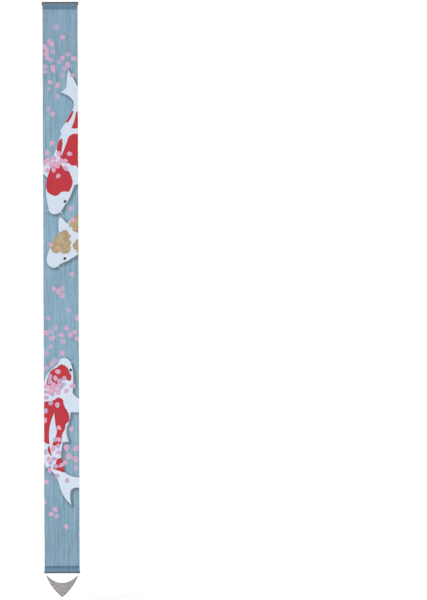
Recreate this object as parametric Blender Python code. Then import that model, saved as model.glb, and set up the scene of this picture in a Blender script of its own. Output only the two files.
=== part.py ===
"""A long narrow cloth banner that hangs from a round top rod.

The cloth is one strip of thin hemp. Its two ends are turned over the rods and sewn down as rod
pockets, and a small linen pendant hangs below the bottom rod on two short threads. The free cloth
bends, so it is built as a row of equal sections that hinge on each other.

Metres, +Z up. The painted front faces -Y and the rods lie along X. The origin is the middle of the
top rod's axis, which is what the banner hangs by.
"""

import math

import bmesh
import bpy
from mathutils import Matrix, Vector

MM = 0.001

# The cloth strip
BANNER_WIDTH = 100 * MM
BANNER_LENGTH = 1632 * MM  # from the top fold to the bottom fold
CLOTH_THICKNESS = 0.5 * MM
SECTION_COUNT = 12  # hinged sections of the free cloth between the two pockets

# Rods and the pockets sewn round them
TOP_ROD_DIAMETER = 9 * MM
TOP_ROD_PROUD = 2 * MM  # how far each end stands out of the cloth
TOP_TAIL_HEIGHT = 10.4 * MM  # doubled cloth between the rod and the end of the pocket
BOTTOM_ROD_DIAMETER = 5 * MM
BOTTOM_ROD_PROUD = 1.5 * MM
BOTTOM_TAIL_HEIGHT = 14.4 * MM
ROD_END_CHAMFER = 0.4 * MM

# Seams
SEAM_THREAD_DIAMETER = 0.5 * MM
SEAM_FROM_TAIL_END = 2 * MM
SEAM_FROM_SIDE = 1 * MM

# Pendant
TIE_THREAD_DIAMETER = 0.8 * MM
TIE_THREAD_DROP = 7.5 * MM  # from the bottom fold down to the pendant's corners
TIE_THREAD_INSET = 4.2 * MM  # from the side of the cloth to the top of the thread
TIE_THREAD_LEAN = 1.8 * MM  # how much nearer the middle the thread's lower end is
PENDANT_THICKNESS = 1.2 * MM
PENDANT_CORNER_WIDTH = 2 * MM
PENDANT_SAG = 22 * MM  # how far the top edge dips between the corners
PENDANT_DEPTH = 38.5 * MM  # from the bottom of that dip to the tip
PENDANT_SIDE_BULGE = 10 * MM
PENDANT_EDGE_STEPS = 16

GAP = 0.3 * MM  # between neighbouring pieces
CUT_MARGIN = 5 * MM
ROUND_STEPS = 48
SMOOTH_ANGLE = math.radians(35)

# Places that follow from the sizes
SLEEVE_WALL = GAP + CLOTH_THICKNESS
TOP_SLEEVE_RADIUS = TOP_ROD_DIAMETER / 2 + SLEEVE_WALL
TOP_FOLD_Z = TOP_SLEEVE_RADIUS
TOP_TAIL_END_Z = -TOP_SLEEVE_RADIUS - TOP_TAIL_HEIGHT
BOTTOM_SLEEVE_RADIUS = BOTTOM_ROD_DIAMETER / 2 + SLEEVE_WALL
BOTTOM_FOLD_Z = TOP_FOLD_Z - BANNER_LENGTH
BOTTOM_ROD_Z = BOTTOM_FOLD_Z + BOTTOM_SLEEVE_RADIUS
BOTTOM_TAIL_END_Z = BOTTOM_ROD_Z + BOTTOM_SLEEVE_RADIUS + BOTTOM_TAIL_HEIGHT
SECTION_PITCH = (TOP_TAIL_END_Z - BOTTOM_TAIL_END_Z) / SECTION_COUNT

DYED_HEMP = ("dyed_hemp", (0.235, 0.376, 0.471), 0.9, 0.0)
DARK_WOOD = ("dark_wood", (0.045, 0.038, 0.034), 0.45, 0.0)
SEWING_THREAD = ("sewing_thread", (0.20, 0.32, 0.40), 0.8, 0.0)
GREY_LINEN = ("grey_linen", (0.34, 0.32, 0.315), 0.95, 0.0)
PALE_THREAD = ("pale_thread", (0.62, 0.60, 0.57), 0.8, 0.0)


def clear_scene():
    for old in list(bpy.data.objects):
        bpy.data.objects.remove(old)


def material(finish):
    """The Principled material of a finish, made once."""
    name, colour, roughness, metallic = finish
    made = bpy.data.materials.get(name)
    if made is None:
        made = bpy.data.materials.new(name)
        made.use_nodes = True
        shader = made.node_tree.nodes["Principled BSDF"]
        shader.inputs["Base Color"].default_value = (*colour, 1)
        shader.inputs["Roughness"].default_value = roughness
        shader.inputs["Metallic"].default_value = metallic
    return made


def joint_axis(name, z, parent=None):
    """An empty on a hinge axis along X at this height, which carries what turns there."""
    empty = bpy.data.objects.new(name, None)
    bpy.context.scene.collection.objects.link(empty)
    empty.empty_display_size = 10 * MM
    empty.location = (0, 0, z)
    if parent is not None:
        attach(empty, parent)
    return empty


def attach(child, parent):
    """Parents a piece and leaves it where it is."""
    bpy.context.view_layer.update()
    child.parent = parent
    child.matrix_parent_inverse = parent.matrix_world.inverted()


def place(obj, finish, carrier):
    """Gives a new piece its finish and hangs it on its joint axis."""
    obj.data.materials.append(material(finish))
    bpy.context.scene.collection.objects.link(obj)
    if carrier is not None:
        attach(obj, carrier)
    return obj


def mesh_object(name, bm):
    bmesh.ops.recalc_face_normals(bm, faces=bm.faces)
    mesh = bpy.data.meshes.new(name)
    bm.to_mesh(mesh)
    bm.free()
    return bpy.data.objects.new(name, mesh)


def prism_along(bm, outline, direction):
    """A solid with this flat outline, extruded by the direction vector."""
    face = bm.faces.new([bm.verts.new(point) for point in outline])
    grown = bmesh.ops.extrude_face_region(bm, geom=[face])
    moved = [item for item in grown["geom"] if isinstance(item, bmesh.types.BMVert)]
    bmesh.ops.translate(bm, verts=moved, vec=direction)


def rod(name, diameter, length, z, carrier):
    """A round rod along X with chamfered ends."""
    bm = bmesh.new()
    bmesh.ops.create_cone(
        bm,
        cap_ends=True,
        segments=ROUND_STEPS,
        radius1=diameter / 2,
        radius2=diameter / 2,
        depth=length,
        matrix=Matrix.Rotation(math.pi / 2, 4, "Y"),
    )
    ends = [edge for edge in bm.edges if edge.calc_face_angle(0) > math.pi / 4]
    bmesh.ops.bevel(bm, geom=ends, offset=ROD_END_CHAMFER, segments=1, affect="EDGES")
    obj = mesh_object(name, bm)
    obj.location.z = z
    obj.data.shade_smooth()
    obj.data.set_sharp_from_angle(angle=SMOOTH_ANGLE)
    return place(obj, DARK_WOOD, carrier)


def sleeve(name, radius, bore_radius, tail_height, rod_z, tail_up, carrier):
    """A rod pocket: a tube of cloth round the rod with a doubled tail, open at both ends."""
    tail_half = CLOTH_THICKNESS
    side = 1 if tail_up else -1
    opening = math.asin(tail_half / radius)
    outline = []
    for step in range(ROUND_STEPS + 1):
        turn = opening + (2 * math.pi - 2 * opening) * step / ROUND_STEPS
        outline.append((radius * math.sin(turn), side * radius * math.cos(turn)))
    tail_end = side * (radius + tail_height)
    outline.append((-tail_half, tail_end))
    outline.append((tail_half, tail_end))
    bm = bmesh.new()
    left = -BANNER_WIDTH / 2
    prism_along(bm, [(left, y, z) for y, z in outline], (BANNER_WIDTH, 0, 0))
    obj = mesh_object(name, bm)
    obj.location.z = rod_z
    obj.data.shade_smooth()
    obj.data.set_sharp_from_angle(angle=SMOOTH_ANGLE)
    place(obj, DYED_HEMP, carrier)
    bore = obj.modifiers.new("rod_bore", "BOOLEAN")
    bore.operation = "DIFFERENCE"
    bore.solver = "EXACT"
    bore.object = bore_cutter(name + "_bore", bore_radius, rod_z)
    return obj


def bore_cutter(name, radius, z):
    bm = bmesh.new()
    bmesh.ops.create_cone(
        bm,
        cap_ends=True,
        segments=ROUND_STEPS,
        radius1=radius,
        radius2=radius,
        depth=BANNER_WIDTH + 2 * CUT_MARGIN,
        matrix=Matrix.Rotation(math.pi / 2, 4, "Y"),
    )
    cutter = mesh_object(name, bm)
    cutter.location.z = z
    cutter.hide_render = True
    cutter.display_type = "WIRE"
    bpy.context.scene.collection.objects.link(cutter)
    return cutter


def cloth_section(name, top, bottom, carrier):
    """A flat length of single cloth between two heights."""
    half = BANNER_WIDTH / 2
    front = -CLOTH_THICKNESS / 2
    corners = [(-half, front, top), (half, front, top), (half, front, bottom), (-half, front, bottom)]
    bm = bmesh.new()
    prism_along(bm, corners, (0, CLOTH_THICKNESS, 0))
    return place(mesh_object(name, bm), DYED_HEMP, carrier)


def thread(name, route, diameter, finish, carrier):
    """A round thread along a route of points."""
    curve = bpy.data.curves.new(name, "CURVE")
    curve.dimensions = "3D"
    curve.bevel_depth = diameter / 2
    curve.bevel_resolution = 2
    curve.use_fill_caps = True
    spline = curve.splines.new("POLY")
    spline.points.add(len(route) - 1)
    for point, place_on_route in zip(spline.points, route):
        point.co = (*place_on_route, 1)
    return place(bpy.data.objects.new(name, curve), finish, carrier)


def seam(prefix, tail_end_z, tail_up, carrier):
    """The two threads of a lockstitch across a pocket's tail, one on each face of the cloth."""
    into_tail = -SEAM_FROM_TAIL_END if tail_up else SEAM_FROM_TAIL_END
    z = tail_end_z + into_tail
    y = CLOTH_THICKNESS + GAP + SEAM_THREAD_DIAMETER / 2
    x = BANNER_WIDTH / 2 - SEAM_FROM_SIDE
    for face, side in (("front", -1), ("back", 1)):
        route = [(-x, side * y, z), (0, side * y, z), (x, side * y, z)]
        thread(f"{prefix}_seam_{face}_thread", route, SEAM_THREAD_DIAMETER, SEWING_THREAD, carrier)


def bezier(start, control, end, steps):
    """Points of a quadratic curve, without its last point."""
    for step in range(steps):
        t = step / steps
        yield start * (1 - t) ** 2 + control * 2 * t * (1 - t) + end * t**2


def pendant_outline(corner_x, corner_z):
    """Half the outline goes down the right side to the tip, and the other half mirrors it."""
    tip_z = corner_z - PENDANT_SAG - PENDANT_DEPTH
    outer = Vector((corner_x + PENDANT_CORNER_WIDTH / 2, corner_z))
    inner = Vector((corner_x - PENDANT_CORNER_WIDTH / 2, corner_z))
    tip = Vector((0, tip_z))
    side_normal = (tip - outer).orthogonal().normalized()
    if side_normal.x < 0:
        side_normal.negate()
    bulge = (outer + tip) / 2 + side_normal * PENDANT_SIDE_BULGE
    right = list(bezier(outer, bulge, tip, PENDANT_EDGE_STEPS)) + [tip]
    left = [Vector((-p.x, p.y)) for p in reversed(right[:-1])]
    top = []
    for step in range(PENDANT_EDGE_STEPS + 1):
        x = inner.x * (2 * step / PENDANT_EDGE_STEPS - 1)
        top.append(Vector((x, corner_z - PENDANT_SAG * (1 - (x / inner.x) ** 2))))
    return right + left + top


def pendant(carrier):
    """The linen pendant: its top edge dips between two corners, and its sides run to one tip."""
    corner_x = BANNER_WIDTH / 2 - TIE_THREAD_INSET - TIE_THREAD_LEAN
    corner_z = BOTTOM_FOLD_Z - TIE_THREAD_DROP
    outline = pendant_outline(corner_x, corner_z)
    bm = bmesh.new()
    prism_along(bm, [(p.x, -PENDANT_THICKNESS / 2, p.y) for p in outline], (0, PENDANT_THICKNESS, 0))
    place(mesh_object("pendant", bm), GREY_LINEN, carrier)
    for name, side in (("left", -1), ("right", 1)):
        top = Vector((side * (corner_x + TIE_THREAD_LEAN), 0, BOTTOM_FOLD_Z - GAP))
        bottom = Vector((side * corner_x, 0, corner_z + GAP))
        route = [top, top.lerp(bottom, 0.5), bottom]
        thread(f"{name}_tie_thread", route, TIE_THREAD_DIAMETER, PALE_THREAD, carrier)


def build():
    clear_scene()
    top_bore = TOP_ROD_DIAMETER / 2 + GAP
    bottom_bore = BOTTOM_ROD_DIAMETER / 2 + GAP
    rod("top_rod", TOP_ROD_DIAMETER, BANNER_WIDTH + 2 * TOP_ROD_PROUD, 0, None)

    swing_axis = joint_axis("banner_swing_axis", 0)
    sleeve("top_sleeve", TOP_SLEEVE_RADIUS, top_bore, TOP_TAIL_HEIGHT, 0, False, swing_axis)
    seam("top", TOP_TAIL_END_Z, False, swing_axis)

    carrier = swing_axis
    for index in range(SECTION_COUNT):
        top = TOP_TAIL_END_Z - index * SECTION_PITCH - GAP / 2
        bottom = TOP_TAIL_END_Z - (index + 1) * SECTION_PITCH + GAP / 2
        top -= GAP / 2 if index == 0 else 0
        bottom += GAP / 2 if index == SECTION_COUNT - 1 else 0
        carrier = joint_axis(f"fold_axis_{index + 1:02d}", top + GAP / 2, carrier)
        cloth_section(f"cloth_{index + 1:02d}", top, bottom, carrier)

    bottom_axis = joint_axis("bottom_fold_axis", BOTTOM_TAIL_END_Z + GAP / 2, carrier)
    sleeve(
        "bottom_sleeve",
        BOTTOM_SLEEVE_RADIUS,
        bottom_bore,
        BOTTOM_TAIL_HEIGHT,
        BOTTOM_ROD_Z,
        True,
        bottom_axis,
    )
    seam("bottom", BOTTOM_TAIL_END_Z, True, bottom_axis)
    bottom_rod_length = BANNER_WIDTH + 2 * BOTTOM_ROD_PROUD
    rod("bottom_rod", BOTTOM_ROD_DIAMETER, bottom_rod_length, BOTTOM_ROD_Z, bottom_axis)

    pendant(joint_axis("pendant_swing_axis", BOTTOM_ROD_Z, bottom_axis))


build()
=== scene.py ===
import math
import random
from collections import Counter

import bmesh
import bpy
import numpy as np
from mathutils import Matrix, Vector
from mathutils.geometry import delaunay_2d_cdt
from mathutils.kdtree import KDTree


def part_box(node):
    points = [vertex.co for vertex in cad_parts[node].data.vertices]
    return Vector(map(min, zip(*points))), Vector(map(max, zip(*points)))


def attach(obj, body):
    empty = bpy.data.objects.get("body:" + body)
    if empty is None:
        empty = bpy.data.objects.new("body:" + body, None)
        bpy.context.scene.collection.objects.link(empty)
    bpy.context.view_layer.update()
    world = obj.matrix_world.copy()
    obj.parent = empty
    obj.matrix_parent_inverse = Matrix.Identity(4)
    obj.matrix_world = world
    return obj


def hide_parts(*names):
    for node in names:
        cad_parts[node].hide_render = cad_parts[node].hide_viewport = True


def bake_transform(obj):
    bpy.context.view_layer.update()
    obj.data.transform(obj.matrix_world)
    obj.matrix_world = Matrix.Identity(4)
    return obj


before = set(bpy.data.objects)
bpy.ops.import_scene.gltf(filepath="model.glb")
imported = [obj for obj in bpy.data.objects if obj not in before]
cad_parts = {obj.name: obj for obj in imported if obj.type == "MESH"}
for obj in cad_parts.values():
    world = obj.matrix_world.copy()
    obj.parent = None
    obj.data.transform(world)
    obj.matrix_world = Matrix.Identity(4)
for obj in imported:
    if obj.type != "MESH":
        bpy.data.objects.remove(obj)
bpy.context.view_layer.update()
mm = 0.001

# places of the banner, in mm, read off the frame
topPocketLow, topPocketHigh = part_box("top_sleeve")
lowPocketLow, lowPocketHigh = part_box("bottom_sleeve")
topRodLow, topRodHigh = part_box("top_rod")
lowRodLow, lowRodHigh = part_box("bottom_rod")
pendantLow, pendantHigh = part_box("pendant")
topFold = topPocketHigh.z / mm
topEnd = topPocketLow.z / mm
lowFold = lowPocketLow.z / mm
lowEnd = lowPocketHigh.z / mm
halfWidth = topPocketHigh.x / mm
sections = sorted(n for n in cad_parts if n.startswith("cloth_"))
pitch = (topEnd - lowEnd) / len(sections)


def tint(red, green, blue, alpha=1.0):
    # a colour as the eye names it, 0 to 255, turned linear
    def linear(value):
        value /= 255
        return value / 12.92 if value <= 0.04045 else ((value + 0.055) / 1.055) ** 2.4
    return (linear(red), linear(green), linear(blue), alpha)


def smoothStep(value, start, end):
    share = np.clip((np.asarray(value, float) - start) / (end - start), 0, 1)
    return share * share * (3 - 2 * share)


# camera first, straight on and level with the middle of the banner
camera = {"lens": 200, "sensor": 36, "pictureHeight": 1.7136, "aside": 0.4352, "height": -0.8478,
          "leanDegrees": -0.2256}


def makeCamera(look):
    data = bpy.data.cameras.new("camera")
    data.lens = look["lens"]
    data.sensor_width = look["sensor"]
    data.clip_end = 100
    eye = bpy.data.objects.new("camera", data)
    bpy.context.scene.collection.objects.link(eye)
    distance = look["pictureHeight"] / look["sensor"] * look["lens"]
    eye.location = (look["aside"], -distance, look["height"])
    lean = Matrix.Rotation(math.radians(look["leanDegrees"]), 4, "Z")
    eye.rotation_euler = (Matrix.Rotation(math.pi / 2, 4, "X") @ lean).to_euler()
    bpy.context.scene.camera = eye


# small helpers for shader nodes
class Wire:
    # a node's output that can be reckoned with, as in wire * 0.5 + other
    def __init__(self, socket):
        self.socket = socket
        self.tree = socket.id_data

    def maths(self, operation, *others, clamp=False):
        inputs = dict(enumerate((self, *others)))
        node = addNode(self.tree, "ShaderNodeMath", inputs, operation=operation, use_clamp=clamp)
        return Wire(node.outputs[0])

    def __add__(self, other):
        return self.maths("ADD", other)

    def __sub__(self, other):
        return self.maths("SUBTRACT", other)

    def __rsub__(self, other):
        return self.maths("MULTIPLY_ADD", -1, other)

    def __mul__(self, other):
        return self.maths("MULTIPLY", other)

    def __truediv__(self, other):
        return self.maths("DIVIDE", other)

    def __abs__(self):
        return self.maths("ABSOLUTE")


def plug(value, socket):
    if isinstance(value, Wire):
        value.tree.links.new(value.socket, socket)
    else:
        socket.default_value = value


def addNode(tree, kind, inputs=None, **settings):
    node = tree.nodes.new(kind)
    for name, value in settings.items():
        setattr(node, name, value)
    for name, value in (inputs or {}).items():
        plug(value, node.inputs[name])
    return node


def treeOf(values):
    return next(value.tree for value in values if isinstance(value, Wire))


def mixColour(factor, first, second, blend="MIX"):
    node = addNode(treeOf((factor, first, second)), "ShaderNodeMix", {0: factor, 6: first, 7: second},
                   data_type="RGBA", blend_type=blend)
    return Wire(node.outputs[2])


def ramp(value, start, end, low=0.0, high=1.0):
    inputs = dict(enumerate((value, start, end, low, high)))
    node = addNode(value.tree, "ShaderNodeMapRange", inputs, interpolation_type="SMOOTHSTEP")
    return Wire(node.outputs[0])


def noise(place, perAcross, perDown, detail=2.0, shift=0.0):
    # noise with that many grains to the unit across and down
    spread = addNode(place.tree, "ShaderNodeVectorMath",
                     {0: place, 1: (perAcross, perDown, 1), 2: (shift,) * 3}, operation="MULTIPLY_ADD")
    inputs = {"Vector": Wire(spread.outputs[0]), "Scale": 1.0, "Detail": detail, "Roughness": 0.55}
    return Wire(addNode(place.tree, "ShaderNodeTexNoise", inputs).outputs[0])


def split(place):
    return [Wire(socket) for socket in addNode(place.tree, "ShaderNodeSeparateXYZ", {0: place}).outputs]


def joined(first, second=0.0):
    return Wire(addNode(first.tree, "ShaderNodeCombineXYZ", {0: first, 1: second}).outputs[0])


def drawFor(first, second=0.0):
    # a number from 0 to 1 of its own for each pair of whole numbers
    node = addNode(first.tree, "ShaderNodeTexWhiteNoise", {"Vector": joined(first, second)},
                   noise_dimensions="2D")
    return Wire(node.outputs["Value"])


def fromMiddle(cell):
    # how far from the middle of its cell, 0 to 0.5
    return abs(cell.maths("FRACT") - 0.5)


def newGroup(name, inputs, outputs):
    tree = bpy.data.node_groups.new(name, "ShaderNodeTree")
    kinds = {"vector": "NodeSocketVector", "number": "NodeSocketFloat", "colour": "NodeSocketColor"}
    for socket, kind, *value in inputs:
        made = tree.interface.new_socket(socket, in_out="INPUT", socket_type=kinds[kind])
        if value:
            made.default_value = value[0]
    for socket, kind in outputs:
        tree.interface.new_socket(socket, in_out="OUTPUT", socket_type=kinds[kind])
    entries = tree.nodes.new("NodeGroupInput").outputs
    given = {socket.name: Wire(socket) for socket in entries if socket.name}
    exits = tree.nodes.new("NodeGroupOutput").inputs

    def putOut(**values):
        for socket, value in values.items():
            plug(value, exits[socket])
        return tree
    return given, putOut


def useGroup(group, **inputs):
    node = addNode(treeOf(inputs.values()), "ShaderNodeGroup", node_tree=group)
    for name, value in inputs.items():
        plug(value, node.inputs[name])
    return {socket.name: Wire(socket) for socket in node.outputs}


def newMaterial(name, **values):
    # values are plain numbers on the shader's own sockets
    sockets = {"roughness": "Roughness", "specular": "Specular IOR Level",
               "sheen": "Sheen Weight", "sheenRoughness": "Sheen Roughness",
               "coat": "Coat Weight", "coatRoughness": "Coat Roughness"}
    material = bpy.data.materials.new(name)
    material.use_nodes = True
    tree = material.node_tree
    skin = tree.nodes["Principled BSDF"]
    for key, value in values.items():
        skin.inputs[sockets[key]].default_value = value
    return material, tree, skin


def dress(skin, colour, roughness, height, strength, depth):
    # the finish's colour and gloss, and the relief of its threads or grain
    bump = addNode(skin.id_data, "ShaderNodeBump",
                   {"Height": height, "Strength": strength, "Distance": depth})
    plug(colour, skin.inputs["Base Color"])
    plug(roughness, skin.inputs["Roughness"])
    plug(Wire(bump.outputs[0]), skin.inputs["Normal"])


studio = {
    "background": (1.0, 1.0, 1.0, 1),
    "roomLight": 0.56,
    "lamps": [
        {"name": "keyLamp", "place": (-2.2, -3.6, 0.6), "size": 2.6, "watts": 58},
        {"name": "fillLamp", "place": (2.8, -3.2, -1.2), "size": 2.6, "watts": 23},
        {"name": "backLamp", "place": (-1.2, 3.6, 0.2), "size": 2.6, "watts": 36},
    ],
    "floorDrop": 0.022, "floorRadius": 3.0, "floorGlow": 0.3, "fadeStart": 0.5, "fadeEnd": 2.4,
}


def makeStudio(look):
    world = bpy.data.worlds.new("room")
    bpy.context.scene.world = world
    world.use_nodes = True
    tree = world.node_tree
    tree.nodes.clear()
    seen = Wire(addNode(tree, "ShaderNodeLightPath").outputs["Is Camera Ray"])
    strength = seen * (1 - look["roomLight"]) + look["roomLight"]
    shade = addNode(tree, "ShaderNodeBackground", {"Color": look["background"], "Strength": strength})
    addNode(tree, "ShaderNodeOutputWorld", {"Surface": Wire(shade.outputs[0])})
    middle = Vector((0, 0, (topFold + lowFold) / 2 * mm))
    for lamp in look["lamps"]:
        data = bpy.data.lights.new(lamp["name"], "AREA")
        data.shape = "DISK"
        data.size = lamp["size"]
        data.energy = lamp["watts"]
        light = bpy.data.objects.new(lamp["name"], data)
        bpy.context.scene.collection.objects.link(light)
        light.location = lamp["place"]
        light.rotation_euler = (middle - light.location).to_track_quat("-Z", "Y").to_euler()
    bm = bmesh.new()
    bmesh.ops.create_circle(bm, cap_ends=True, segments=96, radius=look["floorRadius"])
    floor = newPiece("floor", bm)
    floor.location.z = pendantLow.z - look["floorDrop"]
    material, tree, skin = newMaterial("paleFloor", roughness=0.9)
    place = Wire(addNode(tree, "ShaderNodeTexCoord").outputs["Object"])
    pale = mixColour(noise(place, 0.7, 0.7), (0.93, 0.93, 0.93, 1), (0.98, 0.98, 0.98, 1))
    # towards its rim the floor is seen as bright as the room, so no horizon shows
    away = Wire(addNode(tree, "ShaderNodeVectorMath", {0: place}, operation="LENGTH").outputs["Value"])
    seen = Wire(addNode(tree, "ShaderNodeLightPath").outputs["Is Camera Ray"])
    fade = ramp(away, look["fadeStart"], look["fadeEnd"]) * seen
    glow = fade * (1 - look["floorGlow"]) + look["floorGlow"]
    plug(mixColour(fade, pale, (0, 0, 0, 1)), skin.inputs["Base Color"])
    plug(mixColour(glow, (0, 0, 0, 1), (1, 1, 1, 1)), skin.inputs["Emission Color"])
    skin.inputs["Emission Strength"].default_value = 1.0
    floor.data.materials.append(material)
    bpy.context.scene.view_settings.view_transform = "Standard"


# node groups that several finishes share; their Place is in mm, across and down the cloth
def makePlainWeave():
    given, putOut = newGroup(
        "plainWeave", [("Place", "vector"), ("Pitch", "number", 0.56), ("Wander", "number", 0.5)],
        [("Height", "number"), ("Gap", "number")])
    place = given["Place"]
    across, down, _ = split(place)
    warp = (noise(place, 0.55, 0.05) - 0.5) * given["Wander"] + across / given["Pitch"]
    weft = (noise(place, 0.06, 0.6, 2, 31) - 0.5) * given["Wander"] + down / given["Pitch"]
    heights = []
    for thread, other, turn in ((warp, weft, 0.0), (weft, warp, 1.0)):
        body = abs((thread * math.pi).maths("SINE"))
        over = ((other + (thread.maths("FLOOR") + turn)) * math.pi).maths("SINE")
        heights.append(body * (over * 0.35 + 0.65))
    height = heights[0].maths("MAXIMUM", heights[1])
    return putOut(Height=height, Gap=ramp(height, 0.55, 0.2))


def makeThreadRuns():
    # single threads picked out over a short run; Share says how many
    given, putOut = newGroup(
        "threadRuns",
        [("Place", "vector"), ("Pitch", "number", 0.5),
         ("Length", "number", 30.0), ("Share", "number", 0.1)],
        [("Mask", "number")])
    across, down, _ = split(given["Place"])
    cell = across / given["Pitch"]
    index = cell.maths("FLOOR")
    run = index * 0.371 + down / given["Length"]
    chosen = drawFor(index, run.maths("FLOOR")).maths("LESS_THAN", given["Share"])
    shape = ramp(fromMiddle(cell), 0.5, 0.28) * ramp(fromMiddle(run), 0.5, 0.36)
    return putOut(Mask=shape * chosen)


def makeYarnSlubs():
    given, putOut = newGroup(
        "yarnSlubs", [("Place", "vector")],
        [("Band", "number"), ("Streak", "number"), ("Pale", "number"),
         ("Bead", "number"), ("Cross", "number")])
    place = given["Place"]
    across, down, _ = split(place)
    runs = makeThreadRuns()

    def picked(where, spacing, length, share):
        return useGroup(runs, Place=where, Pitch=spacing, Length=length, Share=share)["Mask"]

    band = noise(place, 1.5, 0.007, 1, 23) * 0.55 + noise(place, 0.2, 0.0022, 3) * 0.45
    # dark yarns: thick ones now and then, and thin ones more often
    thick = ramp(noise(place, 1.7, 0.008, 1, 7), 0.58, 0.68)
    fades = ramp(noise(place, 0.6, 0.03, 2, 29), 0.4, 0.62)
    streak = (thick * fades).maths("MAXIMUM", picked(place, 0.57, 46.0, 0.24))
    # rows of dark dots, where a thick yarn dives under every second weft
    missed = ramp(noise(place, 1.3, 0.3, 1, 53), 0.42, 0.5)
    dots = ramp((down * (math.tau / 1.5)).maths("SINE"), -0.1, 0.8) * missed
    slub = ramp(noise(place, 0.035, 1.1, 1, 19), 0.6, 0.72)
    cross = picked(joined(down, across), 0.58, 19.0, 0.08).maths("MAXIMUM", slub)
    return putOut(Band=ramp(band, 0.38, 0.62), Streak=streak, Pale=picked(place, 0.57, 61.0, 0.2),
                  Bead=picked(place, 0.7, 27.0, 0.1) * dots, Cross=cross)


def makeDyedCloth(weave, slubs, look):
    given, putOut = newGroup(
        "dyedCloth",
        [("Place", "vector"), ("Shadow", "number", 0.0),
         ("Doubled", "number", 0.0), ("Rod", "number", 0.0)],
        [("Color", "colour"), ("Height", "number"), ("Roughness", "number")])
    place = given["Place"]
    across, down, _ = split(place)
    threads = useGroup(weave, Place=place, Pitch=look["pitch"], Wander=look["wander"])
    yarns = useGroup(slubs, Place=place)
    drift = noise(place, 0.11, 0.0035, 2, 61)
    patch = noise(place, 0.045, 0.012, 2, 11)
    # selvedge: an uneven yarn a few mm in, and the weft's turns showing faintly outside it
    inset = halfWidth - abs(across)
    outside = ramp(inset, 5.5, 0.5)
    fromCord = abs(inset + (noise(place, 0.02, 0.05, 2, 3) * 2.4 - 1.2) - 4.0)
    cord = ramp(fromCord, 0.4, 0.1) * ramp(noise(place, 0.3, 0.5, 2, 37), 0.42, 0.6, 0.0, 0.6)
    turns = down / look["tick"]
    tick = ramp(fromMiddle(turns), 0.3, 0.12) * ramp(drawFor(turns.maths("FLOOR")), 0.3, 1.0, 0.0, 0.6)
    colour = mixColour(yarns["Band"], look["light"], look["deep"])
    for mask, tone, *blend in (
            # the dye drifts between teal and violet from yarn to yarn, and the cloth is darker towards both
            # ends
            (ramp(drift, 0.52, 0.7, 0.0, 0.55), "teal"),
            (ramp(drift, 0.48, 0.3, 0.0, 0.55), "violet"),
            (ramp(patch, 0.45, 0.75, 0.0, 0.5), "greyed"),
            (ramp(down, 380, 120), "topEnd", "MULTIPLY"),
            (ramp(down, 1240, 1500), "lowEnd", "MULTIPLY"),
            (yarns["Streak"] * 0.58, "streak"),
            (yarns["Pale"] * 0.45, "light"),
            (yarns["Cross"] * 0.2, "streak"),
            (yarns["Bead"] * 0.95, "beadAndGapShade"),
            (cord, "cord"),
            (outside * 0.5, "greyed"),
            (tick * outside * ramp(inset, 0.2, 0.9), "streak"),
            # painted shade between the threads, in the dark dots' colour
            (threads["Gap"] * 0.3, "beadAndGapShade"),
            (given["Shadow"] * ramp(yarns["Band"], 0.0, 1.0, 0.75, 1.0), "shadow", "MULTIPLY"),
            # painted shade of the doubled pockets; over the rod, the dark rod showing through plus painted
            # shade
            (given["Doubled"], "doubledShade", "MULTIPLY"),
            (given["Rod"], "overRod")):
        colour = mixColour(mask, colour, look[tone], *blend)
    height = yarns["Bead"] * 0.4 + (yarns["Streak"] * 0.5 + threads["Height"])
    return putOut(Color=colour, Height=height, Roughness=ramp(threads["Height"], 0.1, 0.9, 0.95, 0.8))


def makePigment(weave, slubs):
    # paint brushed over the cloth: full on the threads, thin in the gaps and on the thick yarns
    given, putOut = newGroup(
        "pigment",
        [("Place", "vector"), ("Paint", "colour"), ("Thin", "colour"), ("Show", "number", 0.5),
         ("Ground", "colour"), ("Reverse", "number", 0.0), ("Fade", "number", 0.5)],
        [("Color", "colour"), ("Height", "number"), ("Roughness", "number")])
    place = given["Place"]
    threads = useGroup(weave, Place=place, Pitch=cloth["pitch"], Wander=cloth["wander"])
    yarns = useGroup(slubs, Place=place)
    brush = ramp(noise(place, 0.5, 0.045, 3, 41), 0.35, 0.75)
    crossBrush = ramp(noise(place, 0.05, 0.6, 3, 43), 0.45, 0.8)
    thin = brush * 0.45 + crossBrush * 0.35
    thin = thin + yarns["Streak"] * 0.3 + threads["Gap"] * 0.45 + yarns["Bead"] * 0.5
    thin = thin.maths("MULTIPLY", given["Show"], clamp=True)
    colour = mixColour(thin, given["Paint"], given["Thin"])
    colour = mixColour(given["Reverse"] * given["Fade"], colour, given["Ground"])
    return putOut(Color=colour, Height=yarns["Streak"] * 0.35 + threads["Height"],
                  Roughness=ramp(thin, 0.0, 0.6, 0.72, 0.88))


def makeGoldFleck():
    # metal powder that caught on the tops of the threads, grain by grain
    given, putOut = newGroup(
        "goldFleck",
        [("Place", "vector"), ("Grains", "number", 2.0), ("Dark", "colour"), ("Middle", "colour"),
         ("Light", "colour")],
        [("Color", "colour"), ("Metal", "number"), ("Roughness", "number")])
    place = given["Place"]
    cells = addNode(place.tree, "ShaderNodeTexVoronoi",
                    {"Vector": place, "Scale": given["Grains"], "Randomness": 0.3}, voronoi_dimensions="2D")
    clumps = ramp(noise(place, 0.09, 0.06, 2, 83), 0.3, 0.7, -0.1, 0.1)
    draw = split(Wire(cells.outputs["Color"]))[0] + clumps
    colour = mixColour(ramp(draw, 0.42, 0.12), given["Middle"], given["Dark"])
    colour = mixColour(ramp(draw, 0.72, 0.95), colour, given["Light"])
    return putOut(Color=colour, Metal=ramp(draw, 0.1, 0.8, 0.15, 0.65),
                  Roughness=ramp(draw, 0.2, 1.0, 0.7, 0.38))


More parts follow.
